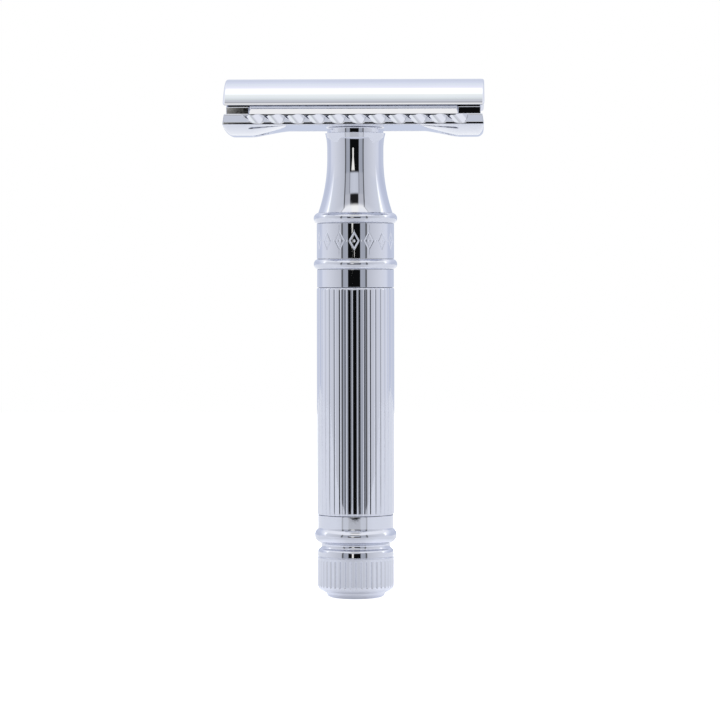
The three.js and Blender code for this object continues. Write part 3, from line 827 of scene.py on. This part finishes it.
def degrees(*stops):
    """Stops of a ramp whose positions are given in degrees from 0 to 180."""
    return [(angle / 180, colour) for angle, colour in stops]


def studio_light():
    """A white room seen in the chrome: grey and black towards the front, where the dark
    gaps between its panels are, brightest above and behind. The background is white."""
    world = bpy.data.worlds.new("studio")
    bpy.context.scene.world = world
    world.use_nodes = True
    n = Nodes(world.node_tree)
    where = n.add("ShaderNodeSeparateXYZ", {
        0: n.add("ShaderNodeTexCoord").outputs["Generated"],
    }).outputs
    x, y, z = where[0], where[1], where[2]
    front = n.math("MULTIPLY", y, -1.0)
    azimuth = n.math("MULTIPLY", n.math("ARCTAN2", x, front), 180 / math.pi)
    azimuth = n.math("SUBTRACT", azimuth, HEAD_YAW)
    turned = n.math("ABSOLUTE", n.math("ADD", azimuth, ROOM_TURN))
    around = n.math("DIVIDE", turned, 180.0)
    over = n.math("DIVIDE", n.math("ARCTAN2", z, front), math.pi)
    height = n.math("MULTIPLY", n.math("ARCSINE", z), 180 / math.pi)

    step, mixed = n.step, n.mixed

    low = n.ramp(around, degrees(
        (0, (0.006,)), (18, (0.006,)), (19, (0.54, 0.56, 0.6)), (33, (0.5, 0.52, 0.56)),
        (34.5, (0.12,)), (38, (0.16,)), (39.5, (0.74, 0.75, 0.78)), (60, (0.84, 0.85, 0.88)),
        (85, (0.96, 0.97, 1.0)), (110, (1.0, 1.02, 1.08)), (121, (0.78, 0.82, 0.93)),
        (150, (0.78, 0.82, 0.93)), (166, (0.62, 0.67, 0.81)),
    ))
    middle = n.ramp(around, degrees(
        (0, (0.84, 0.86, 0.9)), (15, (0.78, 0.8, 0.84)), (18, (0.3, 0.3, 0.32)),
        (20, (0.62, 0.63, 0.66)), (34, (0.6, 0.61, 0.64)), (35, (0.15,)), (38, (0.15,)),
        (39, (0.74, 0.75, 0.78)), (60, (0.84, 0.85, 0.88)), (110, (1.0, 1.03, 1.09)),
    ))
    dark = n.ramp(around, degrees(
        (0, (0.02,)), (14, (0.02,)), (17, (0.7, 0.7, 0.72)), (34, (0.7, 0.7, 0.72)),
        (35, (0.15,)), (38, (0.15,)), (39, (0.78, 0.79, 0.82)), (60, (0.84, 0.85, 0.88)),
        (110, (1.0, 1.03, 1.09)),
    ))
    spread = n.math("MULTIPLY", n.math("MAXIMUM", n.math("SUBTRACT", height, 34.0), 0.0), 0.2)
    fan = n.math("DIVIDE", around, n.math("ADD", spread, 1.0))
    triangle = n.ramp(fan, degrees(
        (0, (1.35, 1.31, 1.2)), (33, (1.35, 1.31, 1.2)), (35, (0.15,)), (38, (0.15,)),
        (40, (0.78, 0.79, 0.82)), (60, (0.84, 0.85, 0.88)), (110, (1.0, 1.03, 1.09)),
    ))
    sky = n.ramp(over, degrees(
        (0, (0.55,)), (15, (0.55,)), (33, (1.2, 1.14, 1.0)), (49, (0.9, 0.88, 0.84)),
        (66, (0.6,)), (80, (0.9,)), (87, (0.97,)), (90, (0.73, 0.73, 0.77)),
        (92, (0.87, 0.88, 0.86)), (94, (1.01, 1.05, 0.97)), (98, (1.19, 1.22, 1.16)),
        (101, (1.25, 1.28, 1.19)), (105, (1.36, 1.37, 1.23)), (107.5, (1.8,)), (118, (1.8,)),
        (122, (1.37, 1.34, 1.3)), (125, (1.22, 1.21, 1.29)), (132, (1.1, 1.13, 1.17)),
        (136, (1.06, 1.1, 1.15)), (140, (0.97, 1.01, 1.09)), (145, (0.92, 0.95, 1.07)),
        (151, (0.81, 0.85, 0.96)), (162, (0.77, 0.81, 0.93)), (172, (0.62, 0.67, 0.81)),
    ))
    facing = mixed(step(height, 11, 13), low, middle)
    facing = mixed(step(height, 25, 27), facing, dark)
    facing = mixed(step(height, 32, 35), facing, triangle)
    facing = mixed(step(height, 46, 54), facing, sky)
    facing = mixed(step(height, -11.5, -12.5), facing, (0.86, 0.88, 0.95, 1))
    behind = mixed(step(height, 3, 14), low, sky)
    colour = mixed(step(turned, 85, 105), facing, behind)
    beside = n.math("MULTIPLY", step(n.math("ABSOLUTE", x), 0.1, 0.25), step(height, 30, 40))
    colour = mixed(beside, colour, (1.2, 1.2, 1.2, 1))
    aside = n.math("ABSOLUTE", n.math("ADD", azimuth, CARD_TURN))
    reach = n.math("ADD", n.math("MULTIPLY", height, 0.45), 1.6)
    inside = step(n.math("SUBTRACT", reach, aside), -0.5, 0.5)
    card = n.math("MULTIPLY", inside, n.math("MULTIPLY", step(height, 0.7, 1.1),
                                             step(height, 11.5, 10)))
    colour = mixed(card, colour, (1.3, 1.25, 1.1, 1))
    seen = n.add("ShaderNodeLightPath").outputs["Is Camera Ray"]
    colour = mixed(seen, colour, (1, 1, 1, 1))
    light = n.add("ShaderNodeBackground", {"Color": colour, "Strength": 1.0})
    n.add("ShaderNodeOutputWorld", {"Surface": light.outputs[0]})


def floor():
    """A white table whose front edge is out of the picture. To the camera it glows evenly white.
    In the chrome its colour is painted reflection: darker towards the front, where the room's
    dark panel is, with a dark line at the panels' gap. Round the foot a painted glow hides the
    contact shadow.
    """
    front, back, half_width, thickness = -195, 800, 900, 4
    points = [
        (sx * half_width, y, z)
        for z in (-thickness, 0) for y in (front, back) for sx in (-1, 1)
    ]
    faces = [[4, 5, 7, 6], [0, 2, 3, 1], [0, 1, 5, 4], [1, 3, 7, 5], [3, 2, 6, 7], [2, 0, 4, 6]]
    table = make_object("floor", points, faces)
    material = bpy.data.materials.new("floor_white_with_painted_light")
    material.use_nodes = True
    n = Nodes(material.node_tree)
    where = n.add("ShaderNodeTexCoord").outputs["Object"]
    noise = n.add("ShaderNodeTexNoise", {"Vector": where, "Scale": 40.0, "Detail": 3.0})
    spot = n.add("ShaderNodeSeparateXYZ", {0: where}).outputs
    front = n.math("MULTIPLY", spot[1], -1.0)
    azimuth = n.math("MULTIPLY", n.math("ARCTAN2", spot[0], front), 180 / math.pi)
    turned = n.math("ABSOLUTE", n.math("ADD", azimuth, ROOM_TURN - HEAD_YAW))
    turned = n.math("ADD", turned, noise.outputs["Fac"])
    around = n.math("DIVIDE", turned, 180.0)
    # Painted reflection on the floor's colour: darker in front, where the room's dark panel is, a
    # dark line at its gap near 36 degrees, lighter to the sides.
    far = n.ramp(around, degrees(
        (0, (0.66,)), (17, (0.66,)), (20, (0.8, 0.81, 0.82)), (34, (0.8, 0.81, 0.82)),
        (36, (0.55,)), (38, (0.55,)), (40, (0.9, 0.91, 0.93)), (60, (0.95, 0.96, 0.98)),
    ))
    # Painted reflection close to the handle: a milder darkening towards the front.
    close = n.ramp(around, degrees(
        (0, (0.74, 0.745, 0.76)), (25, (0.78, 0.785, 0.8)), (60, (0.95, 0.96, 0.98)),
    ))
    distance = n.add("ShaderNodeVectorMath", {0: where}, operation="LENGTH").outputs["Value"]
    base = n.mixed(n.step(distance, 0.1, 0.14), close, far)
    # Painted light: the floor glows round the foot, for all but camera rays, to paint out its
    # contact shadow. To camera rays the whole floor glows evenly white.
    near = n.add("ShaderNodeMapRange", {
        "Value": distance, "From Min": 0.006, "From Max": 0.03, "To Min": 0.4, "To Max": 0.0,
    }).outputs[0]
    seen = n.add("ShaderNodeLightPath").outputs["Is Camera Ray"]
    shader = n.add("ShaderNodeBsdfPrincipled", {
        "Base Color": base, "Roughness": 0.9, "Specular IOR Level": 0.1,
        "Emission Color": base, "Emission Strength": n.math("MAXIMUM", seen, near),
    })
    n.add("ShaderNodeOutputMaterial", {"Surface": shader.outputs[0]})
    table.data.materials.append(material)


def camera():
    """A view from 560 mm in front of the handle, level with its upper grip."""
    distance, height, aim, picture_width = 560, 52.5, 39.9, 121.0
    side, roll, yaw = 0.74, 0.08, math.radians(HEAD_YAW)
    data = bpy.data.cameras.new("camera")
    data.sensor_width = 36
    data.lens = data.sensor_width * distance / picture_width
    view = bpy.data.objects.new("camera", data)
    turn_round = Matrix.Rotation(yaw, 3, "Z")
    view.location = turn_round @ Vector((side, -distance, height)) * MM
    direction = turn_round @ Vector((side, 0, aim)) * MM - view.location
    view.rotation_euler = direction.to_track_quat("-Z", "Y").to_euler()
    view.rotation_euler.rotate_axis("Z", math.radians(-roll))
    data.clip_start, data.clip_end = 0.01, 20
    bpy.context.scene.collection.objects.link(view)
    bpy.context.scene.camera = view


bpy.context.scene.view_settings.view_transform = "Standard"
camera()
studio_light()
floor()
build_handle()
build_head()

for node, slot, material in (
    ("thread_insert", "brass", BRASS), ("tie_rod", "plain_steel", STEEL),
    ("lock_nut", "plain_steel", STEEL), ("spring_washer", "plain_steel", STEEL),
    ("flat_washer", "plain_steel", STEEL), ("upper_seal_ring", "seal_rubber", RUBBER),
    ("lower_seal_ring", "seal_rubber", RUBBER),
):
    carried_over(node, material)
